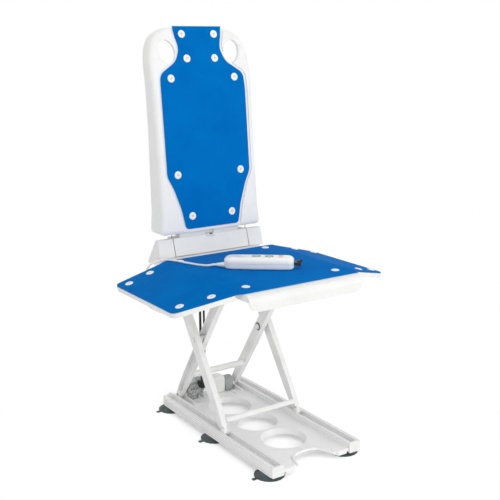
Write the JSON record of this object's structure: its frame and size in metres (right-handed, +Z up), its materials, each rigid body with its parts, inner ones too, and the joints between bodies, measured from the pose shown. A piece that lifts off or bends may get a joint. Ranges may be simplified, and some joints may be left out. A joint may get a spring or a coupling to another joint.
{
  "type": "electric floor lift",
  "caption": "Low scissor lift chair with a railed base on suction cups, electric drive, padded-look seat with folding side flaps, reclining backrest and hand control.",
  "frame": {"origin": "centre of the whole lift's box on the floor, with the seat raised, the backrest upright and the flaps hanging at their stops", "axes": "+Z up, -Y towards the front where the user's legs go, +Y towards the backrest, +X to the right of someone who looks at the lift from the front"},
  "size_m": [0.6518, 0.6, 1.1094],
  "materials": {
    "white_plastic": "satin moulded plastic",
    "white_metal": "satin powder coat",
    "blue_cover": "fine-grained soft cover",
    "dark_rubber": "moulded rubber",
    "grey_plastic": "satin moulded plastic",
    "black_plastic": "satin",
    "steel": "turned steel"
  },
  "bodies": {
    "base": {"rail_left": "white_metal", "rail_right": "white_metal", "rail_cap_front_left": "white_plastic", "rail_cap_front_right": "white_plastic", "rail_cap_rear_left": "white_plastic", "rail_cap_rear_right": "white_plastic", "suction_cup_front_left": "dark_rubber", "suction_cup_front_right": "dark_rubber", "suction_cup_mid_left": "dark_rubber", "suction_cup_mid_right": "dark_rubber", "suction_cup_rear_left": "dark_rubber", "suction_cup_rear_right": "dark_rubber", "foot_bracket_left": "white_metal", "foot_bracket_right": "white_metal", "base_plate": "white_plastic", "drive_gearbox": "grey_plastic", "drive_motor": "white_plastic", "drive_housing": "white_plastic", "drive_bracket": "grey_plastic", "cable_plug": "black_plastic", "motor_cable": "black_plastic", "switch_cable": "black_plastic"},
    "motor": {"motor_rotor": "steel"},
    "inner_legs": {"inner_leg_left": "white_metal", "inner_leg_right": "white_metal", "cross_tube": "white_metal", "drive_shaft": "steel", "drive_gear": "steel", "foot_pin_right": "steel"},
    "outer_legs": {"outer_leg_left": "white_metal", "outer_leg_right": "white_metal", "center_bolt_left": "white_metal", "center_bolt_right": "white_metal", "cross_bar": "white_metal"},
    "foot_roller_left": {"foot_roller_left": "white_plastic"},
    "foot_roller_right": {"foot_roller_right": "white_plastic"},
    "top_roller_left": {"top_roller_left": "white_plastic"},
    "top_roller_right": {"top_roller_right": "white_plastic"},
    "seat": {"seat_plate": "white_plastic", "seat_cover": "blue_cover", "seat_track_left": "steel", "seat_track_right": "steel", "hinge_cheek_left": "white_plastic", "hinge_cheek_right": "white_plastic", "handset_upper": "white_plastic", "handset_lower": "white_plastic", "handset_hook": "black_plastic", "handset_cord": "white_plastic", "cable_gland": "white_plastic"},
    "up_button": {"up_button": "grey_plastic"},
    "down_button": {"down_button": "grey_plastic"},
    "flap_left": {"flap_left": "white_plastic", "flap_cover_left": "blue_cover"},
    "flap_right": {"flap_right": "white_plastic", "flap_cover_right": "blue_cover"},
    "backrest": {"hinge_core": "white_plastic", "backrest_shell": "white_plastic", "backrest_cover": "blue_cover"},
    "latch": {"latch_tab": "white_plastic"}
  },
  "joints": [
    {"name": "lift", "type": "hinge", "parent": "base", "child": "inner_legs", "pos_m": [0, 0.2446, 0.0395], "axis": [1, 0, 0], "range_deg": [0, 51.2], "deforming": ["motor_cable", "switch_cable"]},
    {"name": "scissor", "type": "hinge", "parent": "inner_legs", "child": "outer_legs", "pos_m": [0, 0.09774, 0.25888], "axis": [1, 0, 0], "range_deg": [-102.4, 0]},
    {"name": "seat_level", "type": "hinge", "parent": "outer_legs", "child": "seat", "pos_m": [0, 0.22791, 0.45333], "axis": [1, 0, 0], "range_deg": [0, 51.2]},
    {"name": "motor_spin", "type": "hinge", "parent": "base", "child": "motor", "pos_m": [-0.0341, 0.23159, 0.0623], "axis": [1, 0, 0], "range_deg": [-163.84, 0]},
    {"name": "recline", "type": "hinge", "parent": "seat", "child": "backrest", "pos_m": [0, 0.23, 0.49193], "axis": [-1, 0, 0], "range_deg": [0, 45]},
    {"name": "flap_left_fold", "type": "hinge", "parent": "seat", "child": "flap_left", "pos_m": [-0.1815, -0.0275, 0.46993], "axis": [0, 1, 0], "range_deg": [0, 90]},
    {"name": "flap_right_fold", "type": "hinge", "parent": "seat", "child": "flap_right", "pos_m": [0.1815, -0.0275, 0.46993], "axis": [0, -1, 0], "range_deg": [0, 90]},
    {"name": "up_press", "type": "slide", "parent": "seat", "child": "up_button", "axis": [0, 0, -1], "range_m": [0, 0.001], "stiffness_N_per_m": 400},
    {"name": "down_press", "type": "slide", "parent": "seat", "child": "down_button", "axis": [0, 0, -1], "range_m": [0, 0.001], "stiffness_N_per_m": 400},
    {"name": "latch_press", "type": "slide", "parent": "backrest", "child": "latch", "axis": [0, 1, 0], "range_m": [0, 0.003], "stiffness_N_per_m": 400},
    {"name": "foot_roller_left_turn", "type": "hinge", "parent": "outer_legs", "child": "foot_roller_left", "pos_m": [-0.1223, -0.04912, 0.0395], "axis": [1, 0, 0], "continuous": true},
    {"name": "foot_roller_right_turn", "type": "hinge", "parent": "outer_legs", "child": "foot_roller_right", "pos_m": [0.1223, -0.04912, 0.0395], "axis": [1, 0, 0], "continuous": true},
    {"name": "top_roller_left_turn", "type": "hinge", "parent": "inner_legs", "child": "top_roller_left", "pos_m": [-0.0833, -0.03244, 0.45333], "axis": [1, 0, 0], "continuous": true},
    {"name": "top_roller_right_turn", "type": "hinge", "parent": "inner_legs", "child": "top_roller_right", "pos_m": [0.0833, -0.03244, 0.45333], "axis": [1, 0, 0], "continuous": true}
  ],
  "couplings": [
    {"joint": "scissor", "follows": "lift", "ratio": -2},
    {"joint": "seat_level", "follows": "lift", "ratio": 1},
    {"joint": "motor_spin", "follows": "lift", "ratio": -3.2}
  ]
}
